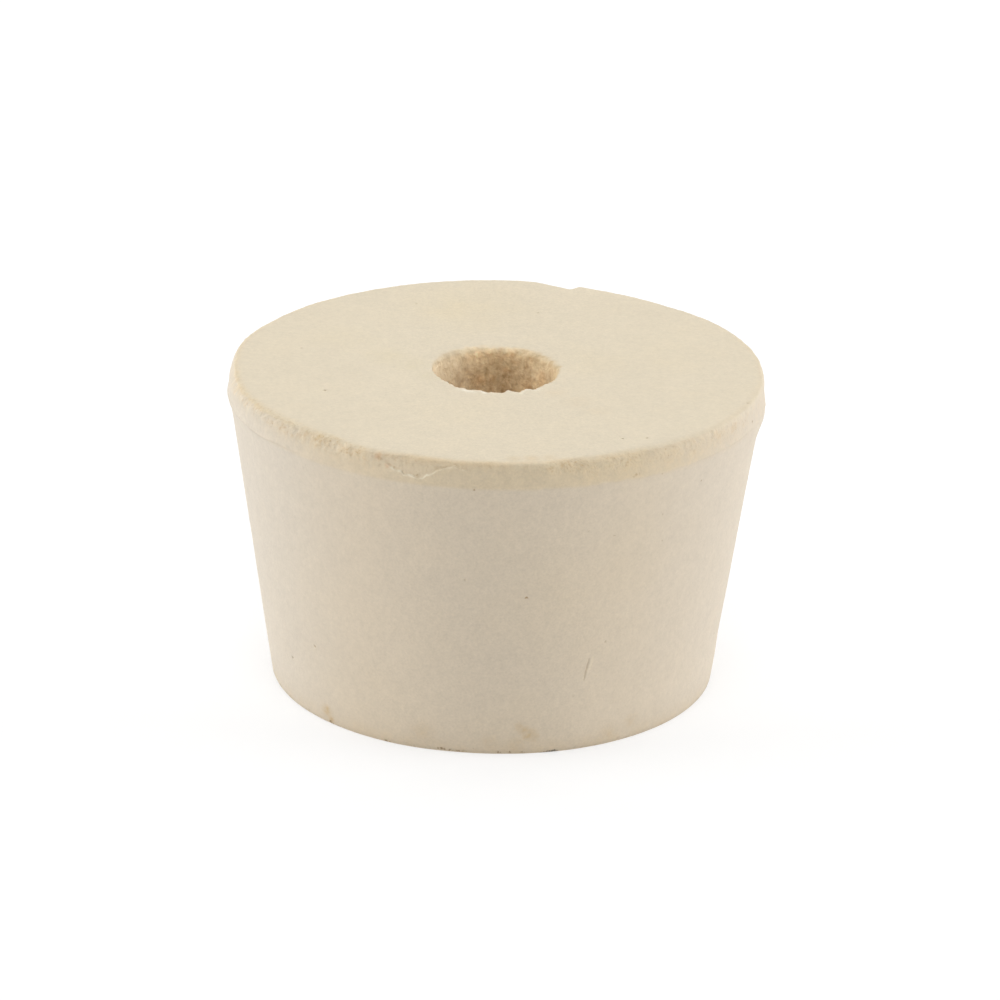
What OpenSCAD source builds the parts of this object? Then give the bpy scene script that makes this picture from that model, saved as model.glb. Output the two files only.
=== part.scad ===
// One-hole rubber stopper, moulded in one piece and trimmed by hand.
// Origin at the centre of the small end's flat face, +Z towards the wide end.
// All lengths in millimetres, all angles in degrees.
// An azimuth is counted from -Y towards +X.

/* [Body] */
// Diameter of the widest circle, where the two halves of the mould met
wide_d = 41.3; // [38:0.1:46]
// Diameter of the small end, measured to the sharp corner
small_d = 34.4; // [30:0.1:36]
// Height from the small end to the wide end
height = 25; // [20:0.5:32]
// Radius of the moulded edge around the small end
small_edge_r = 0.25; // [0.2:0.05:1.2]

/* [Rim] */
// Height of the straight band between the parting line and the wide end
band_h = 2; // [1.5:0.1:3]
// How far the thin ridge on the parting line stands proud
ridge_proud = 0.1; // [0.05:0.05:0.2]
// Height of that ridge
ridge_h = 0.3; // [0.2:0.1:0.5]
// Radius left on the edge of the wide end where the knife did not reach
rim_edge_r = 0.3; // [0.2:0.05:0.4]

/* [Bore] */
// Diameter of the hole that a tube is pushed through
bore_d = 9.5; // [6:0.1:12]
// Sideways offset of the hole from the middle, along X
bore_x = -0.2; // [-0.6:0.1:0.6]
// Sideways offset of the hole from the middle, along Y
bore_y = -0.6; // [-0.8:0.1:0.8]

/* [Trimming] */
// Depth of the knife cuts around the wide end, 1 is as found
trim_scale = 1; // [0.7:0.05:1.2]
// Depth of the slanted nick in the rim at the back
nick_depth = 1.3; // [0.6:0.1:1.6]
// Where the nick ends in its step
nick_az = 163; // [162:0.5:165]

/* [Hidden] */
$fn = 120;

wide_r = wide_d / 2;
small_r = small_d / 2;
band_z = height - band_h;
// Angle of the tapered side from upright
taper = atan((wide_r - small_r) / band_z);
// Length from the small end's sharp corner to where its rounding starts
edge_t = small_edge_r / tan((90 + taper) / 2);
// Radius of the tapered side where the ridge starts
ridge_r = small_r + (wide_r - small_r) * (band_z - ridge_h / 2) / band_z;

// The flash was cut off with a knife, in short straight strokes around the
// rim. Each stroke is [azimuth, depth at the top face, lean from upright,
// length]. No stroke reached the short piece of rim at azimuth 3 to 12, and
// only the edge was worn away at azimuth 48 to 74.
strokes = [
    [-174, 0.30, 30, 14], [-162, 0.32, 31, 14], [-150, 0.45, 30, 14],
    [-138, 0.50, 30, 14], [-126, 0.48, 30, 14], [-113, 0.38, 30, 14],
    [-101, 0.38, 27, 14], [ -89, 0.48, 24, 14], [ -77, 0.44, 30, 14],
    [ -66, 0.45, 38, 12], [ -56, 0.48, 41, 10], [ -47, 0.54, 42,  8],
    [ -38, 0.72, 40,  6], [ -31, 0.34, 34,  6], [ -25, 0.42, 31,  5],
    [ -17, 0.25, 26,  8], [  -7, 0.22, 24,  8],
    [17.5, 0.42, 29, 3.6], [ 23, 0.34, 30,  6], [  29, 0.52, 31,  5],
    [  35, 0.36, 30,  6], [  42, 0.20, 28,  6],
    [  83, 0.18, 34, 10], [  94, 0.22, 35, 12],
    [ 106, 0.20, 34, 12], [ 118, 0.22, 32, 12], [ 129, 0.35, 30, 10],
    [ 139, 0.52, 29, 12], [ 149, 0.52, 29, 12], [ 158, 0.48, 29,  7],
    [ 175, 0.30, 31, 11]
];

// Places its children at an azimuth, with X pointing outwards
module at_azimuth(az) {
    rotate([0, 0, az - 90]) children();
}

// Half of the section through the axis: flat small end, rounded edge,
// straight taper, parting ridge, upright band, worn edge, flat wide end
module section() {
    union() {
        polygon([
            [0, 0],
            [small_r - edge_t, 0],
            [small_r + edge_t * sin(taper), edge_t * cos(taper)],
            [ridge_r, band_z - ridge_h / 2],
            [wide_r + ridge_proud, band_z],
            [wide_r, band_z + ridge_h / 2],
            [wide_r, height - rim_edge_r],
            [wide_r - rim_edge_r, height],
            [0, height]
        ]);
        translate([small_r - edge_t, small_edge_r]) circle(r = small_edge_r);
        translate([wide_r - rim_edge_r, height - rim_edge_r]) circle(r = rim_edge_r);
    }
}

// What one straight stroke of the knife takes off the rim
module stroke(az, depth, lean, len) {
    at_azimuth(az)
        translate([wide_r - depth * trim_scale, 0, height])
            rotate([0, -lean, 0])
                translate([0, -len / 2, -5]) cube([4, len, 8]);
}

// What the slip of the knife at the back takes off: a slanted cut that
// grows deeper and ends in a step
module nick() {
    at_azimuth(nick_az)
        translate([wide_r - nick_depth, 0, height])
            rotate([0, -38, -14])
                translate([0, 0, -4]) cube([4, 5, 7]);
}

// The hole runs straight through from face to face
module bore() {
    translate([bore_x, bore_y, -1]) cylinder(h = height + 2, d = bore_d);
}

module stopper() {
    color([0.89, 0.85, 0.76])
        difference() {
            rotate_extrude() section();
            for (s = strokes) stroke(s[0], s[1], s[2], s[3]);
            nick();
            bore();
        }
}

stopper();
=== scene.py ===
"""Looks of the one-hole rubber stopper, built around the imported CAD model.

The stopper is one closed skin of rings: up the bore, out over the wide end, over the
knife-trimmed rim, down the tapered side and back in under the small end. Every ring
follows the CAD section, and the knife-trimmed rim is cast in finer steps than the
CAD model's strokes. Lengths are worked out in millimetres and written in metres. An
azimuth is counted from -Y towards +X.
"""

import math

import bmesh
import bpy
import numpy as np
from mathutils import Matrix, Vector, kdtree


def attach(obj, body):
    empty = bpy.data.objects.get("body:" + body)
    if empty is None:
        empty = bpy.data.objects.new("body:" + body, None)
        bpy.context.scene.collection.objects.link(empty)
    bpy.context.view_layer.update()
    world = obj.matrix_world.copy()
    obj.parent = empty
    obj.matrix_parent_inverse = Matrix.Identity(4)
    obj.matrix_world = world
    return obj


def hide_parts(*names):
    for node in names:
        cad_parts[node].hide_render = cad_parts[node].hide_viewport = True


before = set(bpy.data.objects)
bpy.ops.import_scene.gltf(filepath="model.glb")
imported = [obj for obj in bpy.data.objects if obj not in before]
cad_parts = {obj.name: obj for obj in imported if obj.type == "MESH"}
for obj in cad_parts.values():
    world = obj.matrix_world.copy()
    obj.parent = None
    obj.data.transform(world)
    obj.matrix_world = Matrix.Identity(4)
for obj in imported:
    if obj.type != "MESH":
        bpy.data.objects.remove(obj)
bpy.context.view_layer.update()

MM = 0.001

# ---------------------------------------------------------------- sizes, in mm
WIDE_R = 20.65
SMALL_R = 17.2
HEIGHT = 25.0
BAND_Z = 23.0
EDGE_R = 0.25
TAPER = math.atan((WIDE_R - SMALL_R) / BAND_Z)
EDGE_T = EDGE_R / math.tan((math.pi / 2 + TAPER) / 2)
BORE_R = 4.75
BORE_C = np.array([-0.2, -0.6])

# The knife-trimmed rim: azimuth, radius of the wide end there, lean of the cut from upright
TRIM = [
    (-178, 20.4, 32), (-165, 20.4, 32), (-156, 20.35, 32), (-148, 20.24, 30),
    (-135, 20.22, 30), (-120, 20.22, 30), (-106, 20.4, 30), (-96, 20.32, 24),
    (-86, 20.2, 22), (-76, 20.24, 30), (-66, 20.26, 42), (-56, 20.22, 43),
    (-48, 20.16, 43), (-43, 20.05, 42), (-38.5, 19.95, 40), (-35.5, 20.02, 38),
    (-33, 20.42, 35), (-30.5, 20.3, 33), (-28, 20.6, 32), (-25.5, 20.6, 31),
    (-23.5, 20.64, 29), (-21, 20.62, 26), (-17, 20.55, 23), (-10, 20.58, 20),
    (-4, 20.58, 18), (1, 20.64, 16), (4.5, 20.84, 14), (10.5, 20.82, 14),
    (12.5, 20.45, 22), (14.5, 20.26, 28), (18, 20.26, 30), (22, 20.45, 30),
    (25.5, 20.46, 31), (28, 20.3, 31), (31, 20.32, 31), (34, 20.36, 30),
    (37.5, 20.8, 30), (41, 20.62, 29), (44, 20.7, 29), (52, 20.85, 29),
    (62, 20.9, 30), (70, 20.86, 32), (78, 20.66, 34), (86, 20.5, 35),
    (94, 20.46, 35), (106, 20.53, 34), (121, 20.48, 32), (128, 20.4, 30),
    (134, 20.22, 29), (141, 20.16, 29), (158, 20.18, 29), (168, 20.38, 30),
    (176, 20.4, 32),
]
# how round the edge is left: azimuth, against the wide end's face, against the band
ROUND = [
    (-180, 0.13, 0.05), (-90, 0.13, 0.05), (-70, 0.12, 0.05), (-45, 0.10, 0.05),
    (-38, 0.12, 0.05), (-33, 0.17, 0.05), (-28, 0.26, 0.05), (-24, 0.34, 0.05),
    (-16, 0.36, 0.05), (-8, 0.30, 0.06), (2, 0.27, 0.08), (5, 0.26, 0.16), (11, 0.26, 0.14),
    (18, 0.24, 0.05), (24, 0.32, 0.06), (34, 0.36, 0.08), (39, 0.46, 0.14),
    (46, 0.38, 0.20), (55, 0.26, 0.24), (68, 0.22, 0.24), (80, 0.20, 0.12), (100, 0.14, 0.05),
]
NICK_AZ, NICK_DEPTH, NICK_LEAN, NICK_TURN = 163.0, 1.24, 38.0, 14.0


# ------------------------------------------------------------------- noise
def noise(p, seed, scale=1.0):
    """Gradient noise at points p (N, 3), about -1 to 1, with features about scale across."""
    rng = np.random.RandomState(seed)
    perm = rng.permutation(256)
    perm = np.concatenate([perm, perm, perm])
    grad = rng.normal(size=(256, 3))
    grad /= np.linalg.norm(grad, axis=1, keepdims=True)
    q = np.asarray(p, float) / scale + rng.uniform(0, 64, 3)
    i = np.floor(q).astype(int)
    f = q - i
    i &= 255
    u = f * f * f * (f * (f * 6 - 15) + 10)
    total = np.zeros(len(q))
    for dx in (0, 1):
        for dy in (0, 1):
            for dz in (0, 1):
                h = perm[perm[perm[i[:, 0] + dx] + i[:, 1] + dy] + i[:, 2] + dz]
                d = ((f - (dx, dy, dz)) * grad[h]).sum(1)
                w = (
                    (u[:, 0] if dx else 1 - u[:, 0])
                    * (u[:, 1] if dy else 1 - u[:, 1])
                    * (u[:, 2] if dz else 1 - u[:, 2])
                )
                total += w * d
    return total * 1.7


def layered(p, seed, scale, octaves=3, gain=0.5):
    total, weight = 0.0, 0.0
    for k in range(octaves):
        total = total + noise(p, seed + 17 * k, scale / 2**k) * gain**k
        weight += gain**k
    return total / weight


def ramp(x, a, b):
    """Smooth step from 0 at a to 1 at b."""
    t = np.clip((np.asarray(x, float) - a) / (b - a), 0, 1)
    return t * t * (3 - 2 * t)


def bell(x, middle, half):
    return np.exp(-(((np.asarray(x, float) - middle) / half) ** 2))


def towards(az):
    """Unit vectors at azimuths in degrees."""
    a = np.radians(az)
    return np.stack([np.sin(a), -np.cos(a)], -1)


def turn_gap(az, middle):
    """Signed distance in degrees from middle to az, -180 to 180."""
    return (np.asarray(az, float) - middle + 180.0) % 360.0 - 180.0


def around(az, table):
    """A value that runs smoothly through (azimuth, value) pairs all the way round."""
    a, v = zip(*sorted(table))
    return np.interp(az, [a[-1] - 360, *a, a[0] + 360], [v[-1], *v, v[0]])


def eased(az, table, half=1.6):
    """around() with its corners rounded over a few degrees."""
    steps = np.linspace(-half, half, 9)
    return np.mean([around((az + k + 180) % 360 - 180, table) for k in steps], axis=0)


def side_r(z):
    return SMALL_R + (WIDE_R - SMALL_R) * z / BAND_Z


# ------------------------------------------------- the torn flap under the rim
TEAR = [
    (-37, 24.3), (-33.6, 24.28), (-31, 24.33), (-28.9, 24.29), (-24, 24.35), (-22.8, 24.25),
    (-22, 24.1), (-21, 23.85), (-19.5, 23.85), (-19.1, 23.65), (-17, 23.6), (-15.8, 23.45),
    (-14.8, 23.55), (-14.1, 23.85), (-13, 23.9), (-12, 24.2), (-9.9, 24.45), (-8.4, 24.65),
    (-6.4, 24.4), (-4, 24.3),
]


def tear_line(az):
    """Height of the torn line, and how much of it there is."""
    where = np.stack([towards(az)[:, 0] * WIDE_R, towards(az)[:, 1] * WIDE_R, np.full(len(az), 24.0)], 1)
    z = np.interp(az, *zip(*TEAR)) + 0.03 * noise(where, 31, 0.75) + 0.06 * noise(where, 32, 0.32)
    there = ramp(az, -24.0, -21.5) * (1 - ramp(az, -6.5, -4.5))
    there = np.maximum(there, 0.55 * ramp(az, -37, -35) * (1 - ramp(az, -33, -30.5)))
    return np.clip(z, 23.43, 24.7), there


# ------------------------------------------------- the rings of the skin
INNER = (19.1, 23.4)  # the rim is cast from here against the strokes


def softest(parts, k):
    """Smooth minimum of a list of (n,) distances, rounded over about k."""
    parts = np.array(parts)
    low = parts.min(0)
    return low - k * np.log(np.exp(-np.minimum((parts - low) / k, 60)).sum(0))


def cast(az, r, z):
    """Where the ray from INNER towards the untrimmed (r, z) leaves the trimmed rim.
    az is (n,), and r and z are numbers or (n,)."""
    az = np.asarray(az, float)
    r, z = np.broadcast_to(r, az.shape).astype(float), np.broadcast_to(z, az.shape).astype(float)
    d = np.hypot(r - INNER[0], z - INNER[1])
    dr, dz = (r - INNER[0]) / d, (z - INNER[1]) / d
    where = np.stack([towards(az)[:, 0] * WIDE_R, towards(az)[:, 1] * WIDE_R, np.full(len(az), 24.0)], 1)
    t = np.tan(np.radians(eased(az, [(a, lean) for a, _, lean in TRIM], 4.0)))
    edge = eased(az, [(a, r0) for a, r0, _ in TRIM])
    edge = edge + 0.045 * noise(where, 301, 1.5) + 0.03 * noise(where, 302, 0.55) + 0.012 * noise(where, 303, 0.25)
    down = np.maximum(dr + dz * t, 1e-6)
    far = (edge + (HEIGHT - INNER[1]) * t - INNER[0]) / down
    knife = [np.where(dr + dz * t > 1e-6, np.clip(far, 0.05, 9.0), 9.0)]
    # The nick: a slanted cut that ends in a short slope
    face, along = NICK_AZ - NICK_TURN, NICK_AZ - NICK_TURN + 90
    p0 = towards(NICK_AZ) * (WIDE_R - NICK_DEPTH)
    e, tdir = towards(face), towards(along)
    t = math.tan(math.radians(NICK_LEAN))
    c = towards(az) @ e
    down = dr * c + dz * t
    far = (p0 @ e + 0.02 * noise(where, 431, 0.6) + (HEIGHT - INNER[1]) * t - INNER[0] * c) / np.maximum(down, 1e-6)
    slid = (towards(az) * 20.0 - p0) @ tdir
    far = far + 1.2 * (1 - ramp(slid, -0.8, 0.1)) + 2.0 * ramp(slid, 4.0, 5.5)
    knife.append(np.where((np.abs(turn_gap(az, NICK_AZ)) < 40) & (down > 1e-6), np.clip(far, 0.05, 9), 9.0))
    # The knife left the band whole below the torn line
    line, there = tear_line(az)
    line = INNER[1] + 0.02 + (line - INNER[1] - 0.02) * there
    ledge = np.where(dz > 1e-6, (line - INNER[1]) / np.maximum(dz, 1e-6), 9.0)
    knife = softest(knife, 0.08)
    knife = np.where(there > 0.001, np.maximum(knife, np.minimum(ledge, 9.0)), knife)
    top = np.where(dz > 1e-6, (HEIGHT - INNER[1]) / np.maximum(dz, 1e-6), 9.0)
    band = np.where((z >= BAND_Z) & (dr > 1e-6), (WIDE_R - INNER[0]) / np.maximum(dr, 1e-6), d)
    varied = 1 + 0.25 * noise(where, 451, 3.0)
    knife_top = softest([np.minimum(top, 9.0), knife], varied * eased(az, [(a, k) for a, k, _ in ROUND]))
    reach = softest([knife_top, np.minimum(band, 9.0)], varied * eased(az, [(a, k) for a, _, k in ROUND]))
    e = towards(az)
    rr = INNER[0] + reach * dr
    return np.column_stack([rr * e[:, 0], rr * e[:, 1], INNER[1] + reach * dz])


BORE, TOP, RIM, SIDE, BOTTOM = range(5)
rings = []


def add_ring(n, made, zone, chart, s, crowd=0.22, mouth=9.0):
    """One ring of n points. crowd sets them closer together at the front. s is its
    place on the chart, and mouth the way along the skin from the corner of the hole's
    mouth, below zero in the hole."""
    turn = -math.pi + 2 * math.pi * np.arange(n + 1) / n
    az = np.degrees(turn - crowd * np.sin(turn))
    rings.append({"n": n, "az": az, "co": made(az[:-1]), "chart": chart, "s": s, "zone": zone, "mouth": mouth})


def circle(r, z, centre=(0.0, 0.0)):
    def made(az):
        e = towards(az)
        return np.column_stack([centre[0] + r * e[:, 0], centre[1] + r * e[:, 1], np.full(len(az), z)])

    return made


NB, NM, NT, NR, NS = 256, 512, 512, 1024, 512

# 1. the bore, from the small end up
for z in (0.0, 0.12, 0.3, 0.55, 0.9, 1.4, 2.0, *np.linspace(2.8, 19.9, 19)):
    add_ring(NB, circle(BORE_R, z, BORE_C), BORE, "bore", float(z), 0.0, float(z) - HEIGHT)
for z in (*np.linspace(20.6, 23.5, 20), 23.64, 23.78, 23.92, 24.05, 24.18, 24.3, 24.41, 24.51, 24.6, 24.69, 24.77, 24.85, 24.92, 24.97):
    add_ring(NM, circle(BORE_R, z, BORE_C), BORE, "bore", float(z), 0.0, float(z) - HEIGHT)
# 2. the wide end's face, out from the hole's mouth
for s in (0.0, 0.05, 0.11, 0.18, 0.27, 0.38, 0.52, 0.7, 0.95, 1.4, 2.0):
    add_ring(NM, circle(BORE_R + s, HEIGHT, BORE_C), TOP, "top", BORE_R + s, 0.0, s)
for r in np.linspace(7.6, 18.5, 11):
    f = (r - 6.75) / (18.5 - 6.75)
    add_ring(NT, circle(r, HEIGHT, BORE_C * (1 - f)), TOP, "top", r, 0.22 * f)
# 3. the rim, cast against the strokes
for r in (19.12, 19.34, 19.52, 19.68, 19.82, 19.95, 20.08, 20.22, 20.36, 20.5, WIDE_R):
    add_ring(NR, lambda az, r=r: cast(az, r, HEIGHT), RIM, "top", r)
for z in (24.84, 24.68, 24.54, 24.42, 24.32, 24.24, 24.17, 24.11, 24.05, 23.97, 23.86, 23.72, 23.56, 23.4, 23.27, 23.17, 23.1, 23.04, 22.98, 22.92, 22.84, 22.72):

    def made(az, z=z):
        line, there = tear_line(az)
        # rows follow the torn line
        rise = z + (line - 24.11) * there * float(np.interp(z, [23.2, 24.11, 24.95], [0, 1, 0]))
        return cast(az, np.where(rise >= BAND_Z, WIDE_R, side_r(rise)), rise)

    add_ring(NR, made, RIM, "side", z)
# 4. the tapered side
for z in (22.5, 22.2, *np.linspace(21.6, 1.2, 22), 0.75):
    add_ring(NS, circle(side_r(z), z), SIDE, "side", float(z))
# 5. the moulded edge around the small end
for k in range(5):
    a = -TAPER + (-math.pi / 2 + TAPER) * k / 4
    r = SMALL_R - EDGE_T + EDGE_R * math.cos(a)
    z = EDGE_R + EDGE_R * math.sin(a)
    add_ring(NS, circle(r, max(z, 0.0)), SIDE, "side", 0.25 - 0.2 * k)
# 6. the small end's face, back in to the hole
for r in (16.6, 16.0, 15.0, 13.5, 12.0, 10.3, 8.6, 7.2, 6.2, 5.5):
    f = (r - 5.5) / (16.6 - 5.5)
    add_ring(NB, circle(r, 0.0, BORE_C * (1 - f)), BOTTOM, "bottom", r, 0.22 * f)
for r in (5.1, 4.88, 4.79):
    add_ring(NB, circle(r, 0.0, BORE_C), BOTTOM, "bottom", r, 0.0)

# --------------------------------------------------------- faces of the skin
first = np.cumsum([0] + [r["n"] for r in rings])
flat_co = np.concatenate([r["co"] for r in rings])

faces = []  # each a list of (ring, column) with the column not wrapped
for k, ring in enumerate(rings):
    kk = (k + 1) % len(rings)
    n, m = ring["n"], rings[kk]["n"]
    if n == m:
        faces += [((k, j), (kk, j), (kk, j + 1), (k, j + 1)) for j in range(n)]
    elif m == 2 * n:
        for j in range(n):
            faces.append(((k, j), (kk, 2 * j), (kk, 2 * j + 1)))
            faces.append(((k, j), (kk, 2 * j + 1), (k, j + 1)))
            faces.append(((k, j + 1), (kk, 2 * j + 1), (kk, 2 * j + 2)))
    elif n == 2 * m:
        for j in range(m):
            faces.append(((k, 2 * j), (kk, j), (k, 2 * j + 1)))
            faces.append(((k, 2 * j + 1), (kk, j), (kk, j + 1)))
            faces.append(((k, 2 * j + 1), (kk, j + 1), (k, 2 * j + 2)))
    else:
        raise ValueError("rings that meet have the same count or twice it")

polygons = [[int(first[k]) + j % rings[k]["n"] for k, j in f] for f in faces]

# ------------------------------------------------- a map of the skin for the bake
# The side lies in two strips, the two end faces are discs and the bore is a strip.
SHEET = 97.5


def place(chart, s, a, mid, x, y):
    if chart == "side":
        if -90 <= mid < 90:
            return (1.0 + (a + 90) / 180 * 64.0, 45.0 + s)
        a = a + 360 if mid < -90 else a
        return (1.0 + (a - 90) / 180 * 64.0, 71.5 + s)
    if chart == "bore":
        return (67.0 + s, 44.5 + (a + 180) / 360 * 30.0)
    if chart == "top":
        return (21.3 + x, 21.3 + y)
    return (61.5 + x, 17.8 + y)


BETWEEN = {"bore>top": "bore", "top>side": "side", "side>bottom": "bottom", "bottom>bore": "bottom"}
uvs = []
for f in faces:
    ks = sorted({k for k, _ in f})
    a, b = (ks[0], ks[-1]) if ks[-1] - ks[0] <= 1 else (ks[-1], ks[0])
    ca, cb = rings[a]["chart"], rings[b]["chart"]
    chart = ca if ca == cb else BETWEEN[ca + ">" + cb]
    angles = [rings[k]["az"][j] for k, j in f]
    mid = sum(angles) / len(angles)
    for (k, j), a in zip(f, angles):
        ring = rings[k]
        s = HEIGHT if chart in ("bore", "side") and ring["chart"] == "top" else ring["s"]
        if ring["zone"] == RIM:
            x, y = towards(a) * (s if ring["chart"] == "top" else WIDE_R)
        else:
            x, y = ring["co"][j % ring["n"], :2]
        uvs.append(place(chart, s, a, mid, x, y))

plain = bpy.data.meshes.new("plain")
plain.from_pydata(flat_co.tolist(), [], polygons)
plain.uv_layers.new(name="OFBake").data.foreach_set("uv", (np.array(uvs, np.float32) / SHEET).ravel())
for name, values in (("zone", [r["zone"] for r in rings]), ("mouth", [r["mouth"] for r in rings])):
    layer = plain.attributes.new(name, "FLOAT", "POINT")
    layer.data.foreach_set("value", np.concatenate([np.full(r["n"], v, np.float32) for r, v in zip(rings, values)]))

# ------------------------------ a finer mesh where the small marks are modelled
# pits in the wide end's face: x, y, radius, depth
PITS = [
    (-13.04, -5.86, 0.13, 0.10), (9.48, -14.85, 0.11, 0.12), (11.31, -14.65, 0.12, 0.12),
    (16.23, -12.72, 0.14, 0.05), (14.51, -14.58, 0.13, 0.05), (-6.5, 14.2, 0.12, 0.05),
    (3.2, 12.6, 0.10, 0.06), (-15.2, 3.4, 0.11, 0.05),
]
# small dents in the side: azimuth, height, radius, depth
DENTS = [
    (-47.8, 6.49, 0.11, 0.06), (-58.8, 4.26, 0.11, 0.06), (-6.0, 15.2, 0.10, 0.05),
    (39.0, 19.2, 0.10, 0.05), (118.0, 12.5, 0.13, 0.08), (-131.0, 7.6, 0.12, 0.08),
    (171.0, 17.3, 0.14, 0.08), (-92.0, 18.8, 0.10, 0.06), (74.0, 5.1, 0.10, 0.06),
    (27.5, 9.15, 0.10, 0.03), (20.4, 4.75, 0.10, 0.02),
]
# the thin cut low on the side: azimuth and height of its two ends
CUT = ((23.75, 7.95), (22.8, 6.05))


def on_side(a, z):
    e = towards(a)
    return Vector((e[0] * side_r(z), e[1] * side_r(z), z))


bm = bmesh.new()
bm.from_mesh(plain)
marks = [(Vector((x, y, HEIGHT)), 0.32) for x, y, _, _ in PITS]
marks += [(on_side(a, z), 0.32) for a, z, _, _ in DENTS]
marks += [(on_side(*CUT[1]).lerp(on_side(*CUT[0]), t), 0.42) for t in np.linspace(-0.05, 1.05, 34)]
tree = kdtree.KDTree(len(marks))
for k, (at, _) in enumerate(marks):
    tree.insert(at, k)
tree.balance()
edges = list(bm.edges)
for _ in range(6):
    chosen = []
    for edge in edges:
        length = edge.calc_length()
        if length > 0.075:
            _, k, away = tree.find((edge.verts[0].co + edge.verts[1].co) / 2)
            if away < marks[k][1] + 0.35 * length:
                chosen.append(edge)
    if not chosen:
        break
    made = bmesh.ops.subdivide_edges(bm, edges=chosen, cuts=1, use_grid_fill=True)["geom"]
    edges = list(dict.fromkeys(edge for g in made if isinstance(g, bmesh.types.BMVert) for edge in g.link_edges))
bmesh.ops.triangulate(bm, faces=[f for f in bm.faces if len(f.verts) > 4])
mesh = bpy.data.meshes.new("stopper_body")
bm.to_mesh(mesh)
bm.free()
bpy.data.meshes.remove(plain)

count = len(mesh.vertices)


def pulled(data, kind, width=1):
    values = np.zeros(len(data) * width, np.float32)
    data.foreach_get(kind, values)
    return values.reshape(-1, width).astype(float) if width > 1 else values.astype(float)


flat_co = pulled(mesh.vertices, "co", 3)
zone = np.rint(pulled(mesh.attributes["zone"].data, "value")).astype(int)
mouth = pulled(mesh.attributes["mouth"].data, "value")
mesh.attributes.remove(mesh.attributes["zone"])
mesh.attributes.remove(mesh.attributes["mouth"])
mesh.calc_loop_triangles()
tri = np.zeros(len(mesh.loop_triangles) * 3, np.int32)
mesh.loop_triangles.foreach_get("vertices", tri)
tri = tri.reshape(-1, 3)


def normals_of(co):
    n = np.zeros_like(co)
    fn = np.cross(co[tri[:, 1]] - co[tri[:, 0]], co[tri[:, 2]] - co[tri[:, 0]])
    for c in range(3):
        for axis in range(3):
            n[:, axis] += np.bincount(tri[:, c], fn[:, axis], len(co))
    return n / np.maximum(np.linalg.norm(n, axis=1, keepdims=True), 1e-12)


in_bore, in_top, in_rim, in_side, in_bottom = (zone == v for v in (BORE, TOP, RIM, SIDE, BOTTOM))

# ------------------------------------------------- the mouth of the hole
# how far the torn mouth stands out from the bore around it: azimuth, distance
MOUTH = [
    (-176, 0.08), (-165, 0.18), (-157, 0.30), (-145, 0.26), (-132, 0.22), (-120, 0.12), (-101, 0.08), (-88, -0.02), (-75, -0.08), (-62, -0.15), (-52, -0.20),
    (-46, -0.12), (-38, 0.02), (-32, 0.04), (-28, -0.02), (-22, 0.12), (-18, -0.08), (-12, -0.08),
    (-8.5, 0.02), (-6, 0.20), (-2, 0.10), (3, 0.32), (7, 0.32), (9.5, 0.05), (14, -0.18), (17, -0.06),
    (22, 0.40), (28, 0.16), (32, 0.02), (34.5, 0.08), (36, 0.34), (42, 0.30), (48, 0.30), (52, 0.16),
    (56, 0.24), (62, 0.36), (71, 0.30), (79, 0.24), (90, 0.20), (110, 0.14), (130, 0.12), (141, 0.18), (150, 0.30), (157, 0.26), (166, 0.10),
]

co = flat_co.copy()
bore_xy = flat_co[:, :2] - BORE_C
bore_rad = np.hypot(bore_xy[:, 0], bore_xy[:, 1])
bore_az = np.degrees(np.arctan2(bore_xy[:, 0], -bore_xy[:, 1]))
near = (in_bore | in_top) & (np.abs(mouth) < 2.6)
a = bore_az[near]
e = towards(a)
s = mouth[near]
circle_p = np.column_stack([e * BORE_R, np.zeros(len(a))])
worn = ramp(np.abs(turn_gap(a, -8)), 80, 145)  # sharp at the front, worn round at the back
rho = 0.07 + worn * (0.38 + 0.16 * noise(circle_p, 71, 1.6) + 0.08 * noise(circle_p, 72, 0.5))
nub = bell(turn_gap(a, 102), 0, 3.2)
teeth = 0.06 * np.tanh(3.0 * noise(circle_p, 62, 0.42)) + 0.05 * np.tanh(3.0 * noise(circle_p, 63, 0.2))
teeth = teeth * (1 - 0.7 * ramp(np.abs(turn_gap(a, -8)), 50, 105)) + around(a, MOUTH) + 0.22 * nub
rho = np.clip(rho + 0.10 * nub, 0.05, 1.1)
fade = np.where(s < 0, np.exp(s / 0.5), 1 - ramp(s, 0.15, 1.6))
phi = np.clip((s + rho) / (2 * rho), 0, 1) * math.pi / 2
r_new = np.where(s < -rho, BORE_R, np.where(s > rho, BORE_R + s, BORE_R + rho * (1 - np.cos(phi))))
z_new = np.where(s < -rho, HEIGHT + s, np.where(s > rho, HEIGHT, HEIGHT - rho * (1 - np.sin(phi))))
r_new = r_new + teeth * fade
z_new = z_new - (0.03 + 0.04 * worn) * np.sin(phi) ** 2 * np.exp(-np.maximum(s - rho, 0) / 0.5)
co[near] = np.column_stack([BORE_C[0] + r_new * e[:, 0], BORE_C[1] + r_new * e[:, 1], z_new])

# ------------------------------------------------------------ moulded relief
base_co = co.copy()
out = normals_of(co)
z = base_co[:, 2]
az = np.degrees(np.arctan2(base_co[:, 0], -base_co[:, 1]))
rad = np.hypot(base_co[:, 0], base_co[:, 1])
push = np.zeros(len(co))  # along the normal, in mm

# slow waviness of moulded rubber
skin = in_side | in_rim | (in_top & (mouth > 1.0))
push += skin * (0.028 * noise(flat_co, 11, 9.0) + 0.010 * noise(flat_co, 12, 3.2))
push += (skin | in_bottom) * 0.004 * noise(flat_co, 13, 1.1)

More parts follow.
